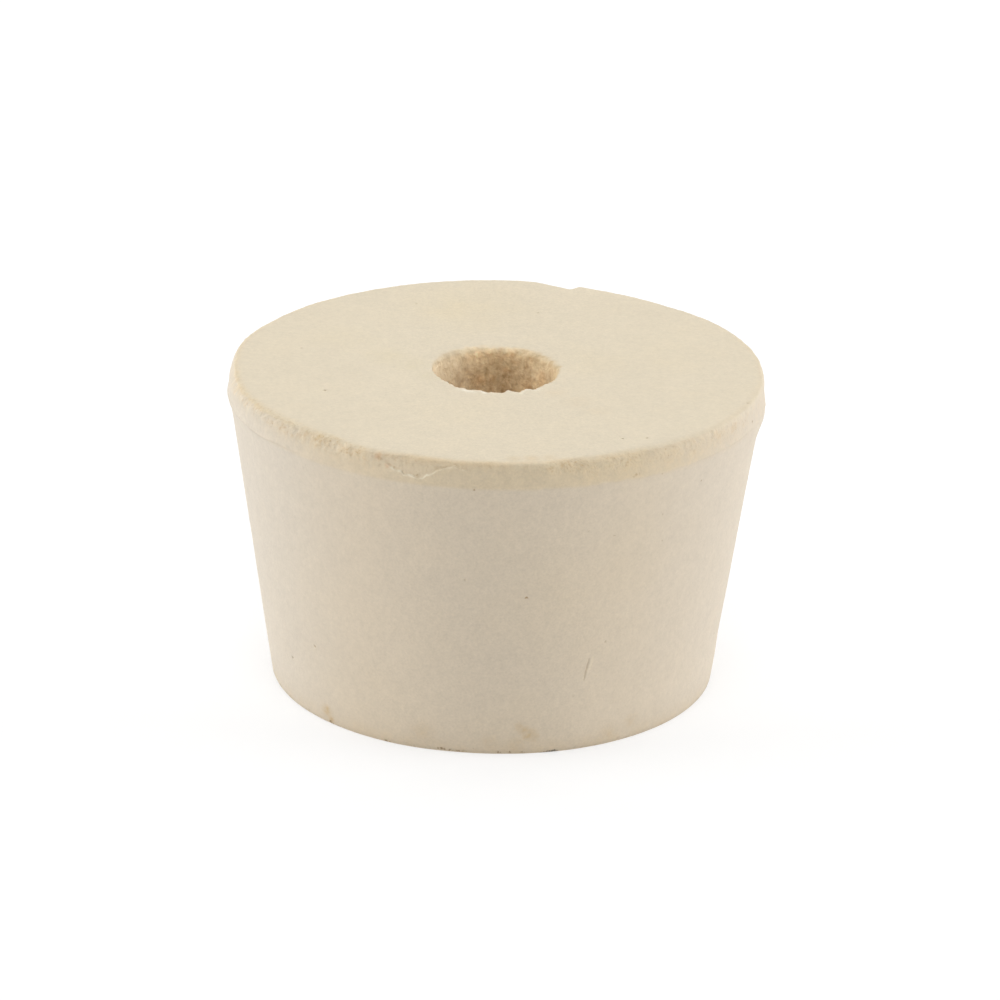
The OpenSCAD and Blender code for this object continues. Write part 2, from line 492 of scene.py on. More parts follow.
# the parting ridge: plain at the left, almost gone at the front, weaker at the right
ridge = around(az, [(-150, 0.04), (-100, 0.06), (-76, 0.10), (-60, 0.11), (-53, 0.08), (-47, 0.03), (-40, 0.0), (-10, 0.0), (30, 0.0), (44, 0.008), (52, 0.03), (64, 0.045), (100, 0.05), (150, 0.03)])
ridge = ridge * (1 + 0.5 * noise(flat_co, 21, 3.0)) + 0.012 * noise(flat_co, 22, 0.8) * (ridge > 0.02)
seam_z = BAND_Z + 0.02 + 0.2 * ramp(az, -62, -50) * (1 - ramp(az, -42, -36))
push += np.clip(ridge, 0.0, 0.13) * bell(z, seam_z, 0.07) * (in_rim | in_side) * (rad > 20.3)

# the edge is soft and crumbly where the knife ran
edge_r = np.full(len(co), 20.2)
cut_az = np.linspace(-180, 180, 1441)
cuts = [cast(cut_az, r, HEIGHT) for r in np.arange(19.3, 20.66, 0.03)]
cut_r = np.max([np.where(c[:, 2] > HEIGHT - 0.16, np.hypot(c[:, 0], c[:, 1]), 0) for c in cuts], axis=0)
edge_r = np.interp(az, cut_az, cut_r)
below = np.where(z > HEIGHT - 0.16, np.minimum(rad - edge_r, 0.12), np.maximum(HEIGHT - z, 0.12))  # way down from the edge
at_edge = in_rim * bell(below, 0.25, 0.55)
crumbly = around(az, [(-180, 0.6), (-150, 0.9), (-120, 0.7), (-80, 0.8), (-66, 1.3), (-48, 1.6), (-30, 1.4), (-20, 0.9), (0, 0.7), (12, 0.9), (30, 0.9), (50, 0.7), (80, 0.6), (120, 0.6), (150, 0.9)])
push += crumbly * at_edge * (0.032 * layered(flat_co, 41, 0.7, 2) - 0.09 * np.clip(noise(flat_co, 43, 0.5) - 0.3, 0, 1))
push += crumbly * (1 - 0.8 * ramp(az, -10, 20)) * at_edge * 0.022 * noise(flat_co * np.array([1, 1, 0.35]), 44, 0.42)
push += in_rim * (below > 0) * (z > 23.3) * 0.018 * layered(flat_co, 45, 0.8, 2)

# a short lip in front, where the knife ran out
push += in_rim * ramp(az, 2.5, 5) * (1 - ramp(az, 10, 12.5)) * bell(below, 0.12, 0.22) * 0.07

# the torn lip stands a little proud, and crumbles above it
line, there = tear_line(az)
over = ramp(z - line, -0.03, 0.03) * there * in_rim
push += there * in_rim * (rad > 20.0) * 0.045 * np.exp(-np.abs(z - line + 0.05) / 0.09) * (z < line + 0.03) * (1 + 1.4 * noise(flat_co, 46, 0.45))
push += over * (0.04 * layered(flat_co, 47, 0.5, 2) - 0.05) * (below > 0.1)

# pits and dents
for x, y, r, d in PITS + [(19.13, -6.74, 0.12, 0.10)]:
    q = np.hypot(flat_co[:, 0] - x, flat_co[:, 1] - y)
    push += (z > 24.2) * (in_top | in_rim) * (-d * np.exp(-((q / r) ** 2)) + 0.25 * d * bell(q, 1.7 * r, 0.6 * r))
for a, h, r, d in DENTS:
    q = np.hypot(turn_gap(az, a) * math.radians(1) * rad, z - h)
    push += in_side * (-d * np.exp(-((q / r) ** 2)) + 0.2 * d * bell(q, 1.7 * r, 0.6 * r))

# the thin cut low on the side, a slit with its right lip raised
(a1, z1), (a2, z2) = CUT
t = np.clip((z - z2) / (z1 - z2), 0, 1)
gap = turn_gap(az, a2 + (a1 - a2) * t) * math.radians(1) * rad + 0.03 * noise(flat_co, 81, 0.7)
length = ramp(z, z2 - 0.15, z2 + 0.5) * (1 - ramp(z, z1 - 0.6, z1 + 0.15))
push += in_side * length * (-0.10 * bell(gap, 0.0, 0.055) + 0.035 * bell(gap, 0.15, 0.08) + 0.015 * bell(gap, -0.12, 0.08))

# the crumbly wall of the hole
hole = in_bore | (in_top & (mouth < 1.0))
p = base_co[hole]
deep = -mouth[hole]  # below zero on the wide end's face
seen = 1 - ramp(deep, 4.0, 5.2)
fibre = p * np.array([1, 1, 0.28])
rough = seen * (0.050 * noise(p, 51, 1.1) + 0.045 * noise(p, 52, 0.5) + 0.018 * noise(p, 53, 0.24))
rough += seen * (0.055 * noise(fibre, 54, 0.75) + 0.030 * noise(fibre, 57, 0.38)) * (1 - 0.5 * ramp(deep, 1.5, 4.0)) * ramp(deep, -0.1, 0.9)
rough += (1 - seen) * 0.07 * noise(p * np.array([1, 1, 0.45]), 55, 1.1)
worn_here = ramp(np.abs(turn_gap(bore_az[hole], -8)), 80, 145)
rough *= ramp(deep, -0.15 - 0.5 * worn_here, 0.35)
rough *= ramp(base_co[hole, 2], 0.0, 0.5)
push[hole] += rough

co = base_co + out * push[:, None]

# the collar stands out a little at the two sides, lower down at the right, the cone is
# slack below it, and the foot spreads at the right
slack = ramp(z, 9.0, 19.0) * (1 - ramp(z, 22.4, 23.0)) * (in_rim | in_side)
e = towards(az)
right_lump = around(az, [(-180, 0.0), (48, 0.0), (66, 0.45), (78, 0.9), (90, 1.0), (102, 0.7), (122, 0.0)])
left_lump = around(az, [(-180, 0.0), (-118, 0.0), (-100, 0.6), (-90, 1.0), (-80, 0.8), (-64, 0.2), (-50, 0.0)])
lump = 0.31 * right_lump * np.where(z > 22.15, bell(z, 22.15, 0.9), bell(z, 22.15, 0.74)) + 0.05 * left_lump * bell(z, 22.6, 0.7)
foot = 0.12 * around(az, [(-180, 0.0), (4, 0.0), (22, 0.9), (45, 1.0), (80, 1.0), (100, 0.3), (120, 0.0)]) * (1 - ramp(z, 1.5, 4.5))
co[:, :2] += e * ((in_rim | in_side) * (lump + foot) - 0.07 * slack)[:, None]

# keep inside the CAD model's box and flat on the bench
limit = WIDE_R + 0.1
co[:, :2] = np.clip(co[:, :2], -limit, limit)
co[:, 2] = np.clip(co[:, 2], 0.0, HEIGHT)
flat_part = (in_bottom & (rad > 6)) | (in_side & (flat_co[:, 2] < 0.005))
co[flat_part, 2] = np.minimum(co[flat_part, 2], 0.01)

mesh.vertices.foreach_set("co", (co * MM).astype(np.float32).ravel())
mesh.polygons.foreach_set("use_smooth", [True] * len(mesh.polygons))
mesh.update()

# ------------------------------------------------ where each finish, and each painted light or shade, lies
z = co[:, 2]
out = normals_of(co)
worn_at = ramp(np.abs(turn_gap(bore_az, -8)), 80, 145)
is_top = np.where(in_rim, 1 - ramp(below, -0.06, 0.12), 1.0) * (in_rim | in_top)
blot = 0.5 * noise(co, 94, 1.5) + 0.3 * noise(co, 95, 0.6)
is_band = ramp(z + 0.25 * blot * ramp(az, -20, 25), 22.78, 23.14) * (in_rim | in_side) * (1 - is_top)
fray = 0.30 * worn_at * noise(co * np.array([1, 1, 0.4]), 96, 0.45)
is_bore = np.where(in_bore | in_top, ramp(-mouth + fray, -0.12 - 0.72 * worn_at, 0.12 - 0.02 * worn_at), 0.0)
# painted shade: how far into the hole, for darkening the wall there
is_deep_shade = np.where(in_bore, ramp(-mouth, 0.2, 3.2), 0.0)

# strength around the rim of the brown dirt in the crumbled edge, and of its specks
DIRT_AT = [(-175, .3), (-150, .45), (-120, .3), (-95, .45), (-80, .85), (-72, .85), (-62, .6), (-50, .72), (-40, .64), (-33, .55), (-27, .34), (-20, .18), (-12, .2), (0, .12), (9, .15), (16, .4), (24, .46), (34, .42), (46, .40), (58, .38), (70, .35), (85, .3), (100, .3), (130, .4), (155, .3)]
SPECKS_AT = [(-175, .25), (-150, .4), (-120, .25), (-95, .3), (-80, .3), (-72, .5), (-62, .75), (-50, .9), (-40, .9), (-33, .9), (-27, .8), (-20, .45), (-12, .35), (-4, .3), (4, .3), (10, .5), (16, .85), (25, .8), (34, .7), (44, .62), (56, .45), (70, .38), (85, .25), (110, .2), (135, .35), (160, .2)]
patch = 1 + 0.5 * noise(co, 91, 2.6) + 0.3 * noise(co, 92, 1.0)
inward = 0.45 + 0.75 * bell(az, -50, 16)
lower = 0.45 * bell(az, -29, 7) + 0.9 * ramp(az, 12, 24) * (1 - ramp(az, 80, 110))
clean = 0.5 * ramp(az, 30, 46) * (1 - ramp(az, 90, 110)) + 0.25 * bell(az, 7.5, 3.5)
edge_dirt = around(az, DIRT_AT) * patch * in_rim * np.exp(-((np.maximum(below - 0.25 - clean, 0) / (0.75 + lower)) ** 2)) * ramp(below - clean, -inward - 0.1, 0.0)
edge_specks = around(az, SPECKS_AT) * (1 + 0.5 * noise(co, 93, 1.6)) * in_rim * np.exp(-((np.maximum(below - 0.3 - 0.5 * clean, 0) / (0.42 + 0.45 * lower)) ** 2)) * ramp(below - 0.5 * clean, -inward, 0.05)
streaky = 1 - 0.92 * ramp(az, -12, 12) * (1 - ramp(az, 110, 140))
# painted highlight: a paler line along the rounded edge, where it catches the light
is_edge_highlight = in_rim * bell(below, 0.12, 0.28) * around(az, [(-180, 0.2), (-20, 0.15), (2, 0.5), (5, 1.6), (11, 1.5), (14, 0.7), (35, 0.6), (50, 0.9), (72, 0.8), (95, 0.3)]) * (1 + 0.6 * noise(co, 97, 0.8))
rim_line = in_rim * bell(below, -0.10, 0.34) * around(az, [(-180, 0.15), (-60, 0.2), (-34, 0.2), (-24, 0.4), (-18, 0.8), (-4, 0.9), (4, 0.8), (10, 0.6), (16, 0.6), (24, 0.5), (34, 0.3), (50, 0.15)])
# painted shade: a thin dark line just under the parting ridge
seam_shade = (in_rim | in_side) * bell(z, seam_z - 0.09, 0.055) * around(az, [(-180, 0.2), (-95, 0.3), (-80, 0.8), (-60, 1.0), (-52, 0.8), (-44, 0.3), (-36, 0.0), (44, 0.0), (50, 0.35), (66, 0.4), (90, 0.25)]) * (1 + 0.5 * noise(co, 98, 1.2))
is_torn = over * ramp(below, 0.0, 0.3)
# the pale lip of the tear: fresh rubber, and a painted highlight where it catches the light
is_fresh_lip_and_highlight = there * in_rim * bell(z - line, -0.03, 0.075) * (rad > 20.2) * np.clip(0.8 + 1.1 * noise(co, 99, 0.45), 0.15, 1.3) * (0.5 + 1.1 * bell(az, -18.5, 4.5))
# pale crumbs at the front of the mouth, painted partly as the highlight they catch
is_pale_crumb_and_highlight = in_top * bell(mouth, 0.26, 0.34) * around(bore_az, [(-180, 0), (-36, 0), (-28, 0.5), (-22, 1.0), (-16, 0.5), (-9, 1.0), (-3, 0.5), (6, 0.4), (14, 0.7), (20, 0.6), (30, 0.3), (45, 0.25), (60, 0)]) * np.clip(0.35 + 2.2 * noise(co, 89, 0.45), 0, 1.3)
is_shade = there * in_rim * bell(z - line, 0.10, 0.06) * np.clip(0.5 + 1.2 * noise(co, 90, 0.5), 0, 1) * (1 - 0.5 * bell(az, -19, 4))

for name, values in (("top_face", is_top), ("band", is_band), ("bore", is_bore), ("deep", is_deep_shade), ("edge_dirt", edge_dirt), ("edge_specks", edge_specks), ("streaky", streaky), ("worn", is_edge_highlight), ("rim_line", rim_line), ("seam_shade", seam_shade), ("torn", is_torn), ("fresh_lip_and_highlight", is_fresh_lip_and_highlight), ("shade", is_shade), ("pale_crumb_and_highlight", is_pale_crumb_and_highlight)):
    layer = mesh.attributes.new(name, "FLOAT", "POINT")
    layer.data.foreach_set("value", np.clip(values, 0, 2).astype(np.float32))

stopper = bpy.data.objects.new("stopper_body", mesh)
bpy.context.scene.collection.objects.link(stopper)

# --------------------------------------------------------------- the material
material = bpy.data.materials.new("cream_rubber")
material.use_nodes = True
tree = material.node_tree
tree.nodes.clear()


class Field:
    """A value over the surface, made by math nodes."""

    def __init__(self, socket):
        self.socket = socket

    def __add__(self, other):
        return calc("ADD", self, other)

    __radd__ = __add__

    def __sub__(self, other):
        return calc("SUBTRACT", self, other)

    def __rsub__(self, other):
        return calc("SUBTRACT", other, self)

    def __mul__(self, other):
        return calc("MULTIPLY", self, other)

    __rmul__ = __mul__


def plug(value, socket):
    if isinstance(value, Field):
        tree.links.new(value.socket, socket)
    else:
        socket.default_value = value


def calc(operation, *values, clamp=False):
    node = tree.nodes.new("ShaderNodeMath")
    node.operation = operation
    node.use_clamp = clamp
    for value, socket in zip(values, node.inputs):
        plug(value, socket)
    return Field(node.outputs[0])


def clamped(value):
    return calc("ADD", value, 0.0, clamp=True)


def greater(a, b):
    return calc("MAXIMUM", a, b)


def smooth(value, a, b):
    """0 where value is a, 1 where it is b, smooth between."""
    node = tree.nodes.new("ShaderNodeMapRange")
    node.interpolation_type = "SMOOTHSTEP"
    plug(value, node.inputs["Value"])
    low, high, flip = (a, b, False) if a < b else (b, a, True)
    node.inputs["From Min"].default_value = low
    node.inputs["From Max"].default_value = high
    node.inputs["To Min"].default_value = 1.0 if flip else 0.0
    node.inputs["To Max"].default_value = 0.0 if flip else 1.0
    return Field(node.outputs[0])


def painted(name):
    node = tree.nodes.new("ShaderNodeAttribute")
    node.attribute_name = name
    return Field(node.outputs["Fac"])


def vector_calc(operation, a, b=None, scale=None):
    node = tree.nodes.new("ShaderNodeVectorMath")
    node.operation = operation
    plug(a, node.inputs[0])
    if b is not None:
        plug(b, node.inputs[1])
    if scale is not None:
        node.inputs["Scale"].default_value = scale
    return Field(node.outputs["Value" if operation in ("LENGTH", "DISTANCE") else "Vector"])


where = tree.nodes.new("ShaderNodeTexCoord")
P = vector_calc("SCALE", Field(where.outputs["Object"]), scale=1000.0)  # in mm
split = tree.nodes.new("ShaderNodeSeparateXYZ")
tree.links.new(P.socket, split.inputs[0])
X, Y, Z = (Field(split.outputs[k]) for k in range(3))


def grain(size, detail=2.0, seed=0.0, squeeze=None, rough=0.5):
    """Noise of about size mm, roughly -0.5 to 0.5 about 0."""
    at = vector_calc("ADD", P, (seed * 7.3, seed * 3.1, seed * 5.7))
    if squeeze:
        at = vector_calc("MULTIPLY", at, squeeze)
    node = tree.nodes.new("ShaderNodeTexNoise")
    node.noise_dimensions = "3D"
    tree.links.new(at.socket, node.inputs["Vector"])
    node.inputs["Scale"].default_value = 1.0 / size
    node.inputs["Detail"].default_value = detail
    node.inputs["Roughness"].default_value = rough
    return Field(node.outputs["Fac"]) - 0.5


def blended(fac, a, b):
    """Colour a where fac is 0 and b where it is 1."""
    node = tree.nodes.new("ShaderNodeMix")
    node.data_type = "RGBA"
    node.clamp_factor = True
    plug(fac, node.inputs[0])
    plug(a, node.inputs[6])
    plug(b, node.inputs[7])
    return Field(node.outputs[2])


def tinted(colour, fac, tint):
    """colour times tint as far as fac says."""
    node = tree.nodes.new("ShaderNodeMix")
    node.data_type = "RGBA"
    node.blend_type = "MULTIPLY"
    node.clamp_factor = True
    plug(fac, node.inputs[0])
    plug(colour, node.inputs[6])
    plug(tint, node.inputs[7])
    return Field(node.outputs[2])


def scaled(colour, value):
    """colour made brighter or darker by a value about 1."""
    node = tree.nodes.new("ShaderNodeVectorMath")
    node.operation = "SCALE"
    plug(colour, node.inputs[0])
    plug(value, node.inputs["Scale"])
    return Field(node.outputs["Vector"])


# a little unevenness bends the outline of every spot
bend = tree.nodes.new("ShaderNodeTexNoise")
bend.inputs["Scale"].default_value = 3.2
bend.inputs["Detail"].default_value = 2.0
tree.links.new(P.socket, bend.inputs["Vector"])
bent = vector_calc("ADD", P, vector_calc("SCALE", vector_calc("SUBTRACT", Field(bend.outputs["Color"]), (0.5, 0.5, 0.5)), scale=0.35))


def spots(places, at=None):
    """The strongest of some round spots: x, y, z, radius, strength, and how soft from 0 to 1."""
    most = None
    for x, y, h, radius, strength, soft in places:
        away = vector_calc("DISTANCE", at or bent, (x, y, h))
        spot = smooth(away, radius, radius * (1 - soft)) * strength
        most = spot if most is None else greater(most, spot)
    return most


def beside(a, h, radius, strength, soft):
    """A spot on the tapered side at azimuth a and height h."""
    e = towards(a)
    r = side_r(min(h, BAND_Z))
    return (float(e[0] * r), float(e[1] * r), h, radius, strength, soft)


def rgb(r, g, b):
    return (r, g, b, 1.0)


top_face, band, bore = painted("top_face"), painted("band"), painted("bore")
edge_dirt, edge_specks = painted("edge_dirt"), painted("edge_specks")
torn, fresh_lip_and_highlight = painted("torn"), painted("fresh_lip_and_highlight")
streaky, edge_highlight, seam_shade_tint = painted("streaky"), painted("worn"), painted("seam_shade")

n_wide = grain(9.0, 2, 1)
n_blot = grain(3.4, 3, 2)
n_mott = grain(1.1, 3, 3)
n_spot = grain(0.42, 2, 4)
n_fine = grain(0.17, 1, 5)
n_dust = grain(0.6, 4, 6, rough=0.7)
n_drip = grain(0.30, 2, 7, squeeze=(1, 1, 0.22))

# the tapered side: pinker and greyer round to the left, warmer in front
SIDE_C, TOP_C, BAND_C = rgb(0.683, 0.588, 0.459), rgb(0.688, 0.606, 0.466), rgb(0.690, 0.575, 0.405)
to_left = smooth(X, -9.0, -19.5)
colour = blended(to_left, SIDE_C, rgb(0.665, 0.598, 0.503))
colour = blended(smooth(X, 9.5, 19.0) * 0.85, colour, rgb(0.678, 0.600, 0.496))
warm = spots([(5.0, -18.5, 13.0, 10.0, 0.55, 1.0), (9.5, -16.5, 16.0, 7.0, 0.6, 0.95), (-9.0, -15.0, 3.5, 7.0, 0.5, 0.95), (2.0, -17.5, 2.0, 6.0, 0.45, 0.95)], P)
colour = tinted(colour, clamped(warm + n_wide * 0.9) * 0.6, rgb(1.0, 0.985, 0.94))
colour = blended(top_face, colour, TOP_C)
colour = blended(band * clamped(1.05 + n_blot * 1.2) * smooth(X, -22.5, -3.0) * smooth(X, 20.6, 9.0), colour, BAND_C)

# mottling of old rubber, a little coarser on the band
colour = scaled(colour, 1.0 + n_wide * 0.05 + n_blot * 0.06 + n_mott * 0.08 + n_spot * 0.12 + n_fine * (0.12 + smooth(calc("ABSOLUTE", X), 12.0, 5.0) * 0.06) + band * smooth(X, 11.0, 2.0) * n_spot * 0.06 + band * n_mott * 0.06)
colour = tinted(colour, clamped(n_blot * 1.6 + 0.1) * 0.45, rgb(0.985, 0.965, 0.925))
colour = tinted(colour, clamped((n_dust - 0.10) * 5.0) * (1.0 - bore) * 0.35, rgb(0.97, 0.95, 0.90))

# smudges on the wide end's face near the hole, and a yellower patch behind it
grey = spots([(-8.6, 2.0, 25, 2.6, 0.7, 1.0), (-6.6, 0.2, 25, 2.2, 0.8, 1.0), (-4.9, -2.2, 25, 1.8, 0.8, 1.0), (-12.0, 6.0, 25, 4.0, 0.35, 1.0)], P)
colour = tinted(colour, top_face * clamped(grey * (0.8 + n_mott * 2.2)) * 0.9, rgb(0.955, 0.955, 0.90))
red = spots([(4.5, -5.6, 25, 1.6, 0.6, 1.0), (6.2, -7.4, 25, 1.8, 0.7, 1.0), (7.8, -9.1, 25, 1.5, 0.5, 1.0)], P)
colour = tinted(colour, top_face * clamped(red * (0.8 + n_mott * 2.5)) * 0.85, rgb(0.985, 0.945, 0.90))
yellow = spots([(-2.0, 13.5, 25, 7.5, 1.0, 1.0), (7.5, 1.5, 25, 4.5, 0.45, 1.0), (13.0, 3.0, 25, 6.0, 0.3, 1.0), (-2.0, -9.0, 25, 7.0, 0.2, 1.0)], P)
colour = tinted(colour, top_face * clamped(yellow * (0.8 + n_blot * 1.6)) * 0.95, rgb(1.0, 0.985, 0.935))

# the face is yellower behind the short lip in front
colour = tinted(colour, top_face * spots([(1.4, -19.45, 25, 0.9, 0.8, 1.0), (2.7, -19.35, 25, 1.0, 1.0, 1.0), (4.0, -19.1, 25, 0.9, 0.7, 1.0)], P), rgb(0.965, 0.915, 0.84))

# brown dirt along the crumbled edge, its specks, and short runs below it
dirt = clamped(edge_dirt * (0.60 + n_mott * 1.6 + n_spot * 1.6))
colour = tinted(colour, dirt * 0.64, rgb(0.995, 0.91, 0.745))
runs = clamped(edge_dirt * streaky * smooth(n_drip, 0.0, 0.16))
colour = tinted(colour, runs * 0.31, rgb(0.89, 0.79, 0.64))
pale = clamped(edge_dirt * streaky * smooth(n_drip, -0.02, -0.16))
colour = blended(pale * 0.45, colour, rgb(0.80, 0.71, 0.55))
n_grit = grain(0.24, 2, 12)
coarse = smooth(X, 3.0, 11.0)  # softer and broader patches at the right
specks = clamped(edge_specks * smooth(n_grit * (1.0 - coarse * 0.55) + n_mott * (0.35 + coarse * 0.45), 0.04, 0.22))
colour = tinted(colour, specks * 0.56, rgb(0.79, 0.64, 0.44))
dots = clamped(edge_specks * smooth(grain(0.30, 1, 13) + n_fine * 0.4 + n_mott * 0.3, 0.19, 0.30))
colour = tinted(colour, dots * 0.65, rgb(0.70, 0.56, 0.41))

# the edge in front is yellower than the face it bounds
colour = tinted(colour, clamped(painted("rim_line") * (0.85 + n_mott * 0.8)), rgb(0.985, 0.885, 0.74))

# pale crumbs where the drill broke out in front, painted partly as the highlight they catch
colour = blended(clamped(painted("pale_crumb_and_highlight")) * 0.7, colour, rgb(0.86, 0.81, 0.70))

# painted highlight: the rounded edge is a little paler where it catches the light
colour = blended(clamped(edge_highlight * (0.7 + n_spot * 1.5)) * 0.4, colour, rgb(0.77, 0.68, 0.50))
# painted shade: a thin dark line just under the parting ridge
colour = tinted(colour, clamped(seam_shade_tint * (0.9 + n_spot * 2.0)) * 0.6, rgb(0.86, 0.82, 0.76))

# the torn part is browner, with painted shade in a thin line above the lip, and the lip of the tear is paler: fresh
# rubber, and a painted highlight where it catches the light
colour = tinted(colour, torn * clamped(0.75 + n_mott * 1.3), rgb(1.0, 0.985, 0.955))
colour = blended(clamped(torn * (0.5 + n_mott)) * 0.35, colour, rgb(0.76, 0.66, 0.52))
colour = tinted(colour, clamped(painted("shade")) * 0.6, rgb(0.80, 0.71, 0.58))
colour = blended(clamped(fresh_lip_and_highlight * (0.85 + n_spot * 2.5)) * 0.8, colour, rgb(0.83, 0.75, 0.59))

# dirt at the foot, and single marks
foot = [(-12.9, 0.24, 0.13, 0.8), (-12.1, 0.28, 0.16, 1.0), (-11.4, 0.24, 0.12, 0.8), (-10.0, 0.22, 0.13, 0.8), (-8.9, 0.08, 0.14, 0.9), (-8.2, 0.07, 0.15, 1.0), (-7.5, 0.07, 0.15, 1.0), (-6.8, 0.08, 0.14, 0.9), (-4.1, 0.5, 0.12, 0.5), (-45.1, 0.2, 0.2, 0.9), (-44.3, 0.08, 0.15, 0.6), (-27.2, 0.12, 0.2, 0.9), (-26.1, 0.08, 0.15, 0.6), (-1.0, 0.08, 0.11, 0.5), (2.2, 0.24, 0.12, 0.9), (2.9, 0.2, 0.09, 0.6), (5.1, 0.24, 0.12, 0.85), (8.2, 0.2, 0.11, 0.6), (9.0, 0.16, 0.09, 0.4), (27.9, 0.08, 0.15, 0.7), (30.3, 0.06, 0.13, 0.6), (38.8, 0.06, 0.15, 0.5), (63.0, 0.15, 0.16, 0.6), (96.0, 0.1, 0.22, 0.8), (97.6, 0.08, 0.15, 0.6), (121.0, 0.2, 0.2, 0.7), (150.0, 0.1, 0.22, 0.8), (-168.0, 0.15, 0.2, 0.7), (-139.0, 0.2, 0.2, 0.8), (-104.0, 0.1, 0.22, 0.8), (-71.0, 0.15, 0.2, 0.6)]
marks_low = spots([beside(a, h, r, s, 0.7) for a, h, r, s in foot])
foot_line = smooth(Z, 0.55, 0.0) * smooth(n_dust + n_spot * 0.5, 0.04, 0.22)
colour = tinted(colour, greater(marks_low, foot_line * 0.5) * (1.0 - bore), rgb(0.47, 0.40, 0.32))
blue_black = spots([beside(13.2, 0.06, 0.13, 0.7, 0.6), beside(14.0, 0.08, 0.14, 0.9, 0.6), beside(14.7, 0.10, 0.16, 1.0, 0.6), beside(15.4, 0.11, 0.17, 1.0, 0.6), beside(16.1, 0.12, 0.17, 1.0, 0.6), beside(16.8, 0.14, 0.16, 1.0, 0.6), beside(17.4, 0.16, 0.12, 0.8, 0.6)])
colour = tinted(colour, blue_black, rgb(0.24, 0.25, 0.27))
# darker and warmer towards the bottom, mottled
colour = tinted(colour, smooth(Z, 1.6, 0.2) * clamped(0.45 + n_mott * 1.8) * (1.0 - bore) * 0.85, rgb(0.955, 0.91, 0.83))
# painted shade: a little darker towards the floor
colour = tinted(colour, smooth(Z, 3.4, 0.3) * (1.0 - bore), rgb(0.965, 0.96, 0.95))
# painted shade along the very foot, where it meets the floor
colour = tinted(colour, smooth(Z, 0.55, 0.05) * (1.0 - bore) * clamped(0.8 + n_spot * 1.2), rgb(0.87, 0.86, 0.84))
orange = spots([beside(7.4, 2.5, 0.6, 0.7, 1.0), beside(8.6, 2.1, 0.7, 0.9, 1.0), beside(9.9, 1.75, 0.85, 1.0, 1.0), beside(11.1, 1.5, 0.6, 0.8, 1.0), beside(7.0, 0.9, 1.0, 0.35, 1.0), beside(0.0, 1.1, 1.0, 0.3, 1.0), beside(-46.0, 1.1, 0.8, 0.8, 1.0), beside(-44.6, 0.5, 0.5, 0.8, 1.0), beside(-17.0, 1.4, 1.6, 0.35, 1.0), beside(31.0, 0.9, 1.3, 0.3, 1.0), beside(38.0, 1.6, 0.9, 0.45, 1.0)])
colour = tinted(colour, clamped(orange * (0.75 + n_spot * 2.4 + n_mott * 1.5)), rgb(0.885, 0.785, 0.615))
brown = [(7.6, 13.72, 0.17, 1.0), (-4.2, 22.93, 0.15, 0.9), (30.5, 23.25, 0.20, 0.5), (30.0, 23.1, 0.16, 0.4), (31.3, 23.3, 0.16, 0.35), (37.2, 22.84, 0.14, 0.45), (27.5, 9.15, 0.13, 0.2), (26.0, 6.3, 0.14, 0.15), (70.8, 23.5, 0.17, 0.8), (50.0, 21.0, 0.13, 0.8), (21.0, 19.2, 0.11, 0.6), (21.0, 19.05, 0.11, 0.6), (27.0, 18.3, 0.12, 0.5), (40.2, 16.9, 0.13, 0.7), (-47.8, 6.5, 0.14, 0.6), (-58.8, 4.26, 0.14, 0.6), (-152, 14.0, 0.17, 0.9), (111, 8.2, 0.15, 0.8)]
brown = spots([beside(a, h, r, s, 0.8) for a, h, r, s in brown])
edge_marks = [(31.5, 24.82, 0.32, 0.75), (30.8, 24.6, 0.22, 0.5), (33.2, 24.75, 0.24, 0.5), (27.0, 24.6, 0.22, 0.4), (23.8, 24.75, 0.22, 0.4), (40.5, 24.8, 0.24, 0.5), (44.5, 24.85, 0.26, 0.55), (45.6, 24.85, 0.2, 0.4), (52.5, 24.85, 0.24, 0.4), (-25.5, 24.95, 0.26, 0.3), (-24.6, 24.6, 0.24, 0.35), (-23.9, 24.55, 0.2, 0.35), (-24.3, 24.0, 0.22, 0.3), (-21.2, 24.05, 0.15, 0.55), (-19.2, 23.9, 0.14, 0.5), (-16.2, 23.72, 0.14, 0.5), (-11.2, 24.55, 0.15, 0.45), (-33.3, 24.5, 0.22, 0.45), (-31.4, 24.4, 0.2, 0.4)]
edge_marks = spots([beside(a, h, r, s, 0.9) for a, h, r, s in edge_marks])
colour = tinted(colour, greater(brown, edge_marks), rgb(0.60, 0.48, 0.34))
rusty = spots([beside(-24.8, 24.7, 0.5, 0.6, 1.0), beside(-22.6, 24.1, 0.3, 0.6, 1.0)])
colour = tinted(colour, rusty, rgb(0.92, 0.72, 0.60))
# painted shade in the pits and dents, stronger where they are deeper
pit_places = [(x, y, HEIGHT, 0.9 * r + 0.05, min(1.0, d * 9), 0.8) for x, y, r, d in PITS + [(19.13, -6.74, 0.12, 0.10)]]
pit_places += [beside(a, h, 0.9 * r + 0.05, min(1.0, d * 8), 0.8) for a, h, r, d in DENTS]
colour = tinted(colour, spots(pit_places, P), rgb(0.62, 0.53, 0.42))
# painted shade in the thin cut, strongest along its middle
slit = spots([beside(a2 + (a1 - a2) * t, z2 + (z1 - z2) * t, 0.085, 0.35 + 0.6 * math.sin(math.pi * t ** 1.6), 0.8) for t in np.linspace(0.02, 0.98, 18).tolist()], P)
colour = tinted(colour, slit, rgb(0.66, 0.57, 0.46))
flank = spots([beside(a2 + (a1 - a2) * t + 0.95, z2 + (z1 - z2) * t, 0.2, 0.8, 1.0) for t in (0.5, 0.6, 0.7, 0.8, 0.9, 1.0)], P)
colour = blended(flank * 0.45, colour, rgb(0.80, 0.70, 0.50))

